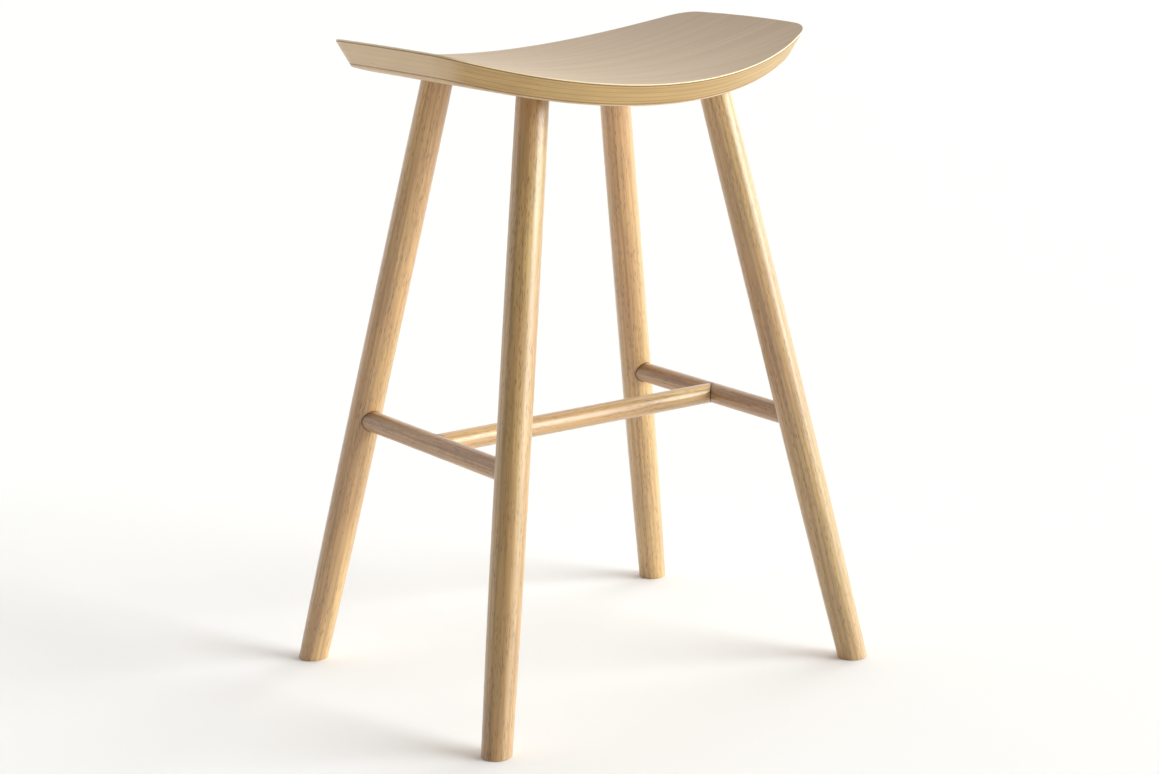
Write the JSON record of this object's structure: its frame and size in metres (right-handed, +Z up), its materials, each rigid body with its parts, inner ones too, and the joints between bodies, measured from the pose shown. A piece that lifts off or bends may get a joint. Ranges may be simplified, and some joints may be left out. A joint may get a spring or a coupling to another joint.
{
  "type": "bar stool with footrest",
  "caption": "Backless wooden stool with a wide saddle seat of moulded laminated wood, splayed round legs and an H of round rungs used as the footrest.",
  "frame": {"origin": "on the floor, at the middle of the four feet", "axes": "+X along the seat's long side towards the viewer's right from the front, +Y across the seat towards the back, +Z up"},
  "size_m": [0.5018, 0.3966, 0.688],
  "materials": {
    "face_veneer": "pale greyed wood veneer, satin clear lacquer",
    "crossband": "thin cross-grain ply, end grain showing at the edge, clear lacquer",
    "seat_core": "long-grain laminated wood, sanded and clear lacquered edge",
    "turned_wood": "turned light hardwood with short dark pores, satin clear lacquer"
  },
  "bodies": {
    "root": {"seat_top_veneer": "face_veneer", "seat_upper_crossband": "crossband", "seat_core": "seat_core", "seat_lower_crossband": "crossband", "seat_bottom_veneer": "face_veneer", "leg_front_left": "turned_wood", "leg_front_right": "turned_wood", "leg_back_left": "turned_wood", "leg_back_right": "turned_wood", "side_stretcher_left": "turned_wood", "side_stretcher_right": "turned_wood", "centre_stretcher": "turned_wood"}
  },
  "joints": []
}
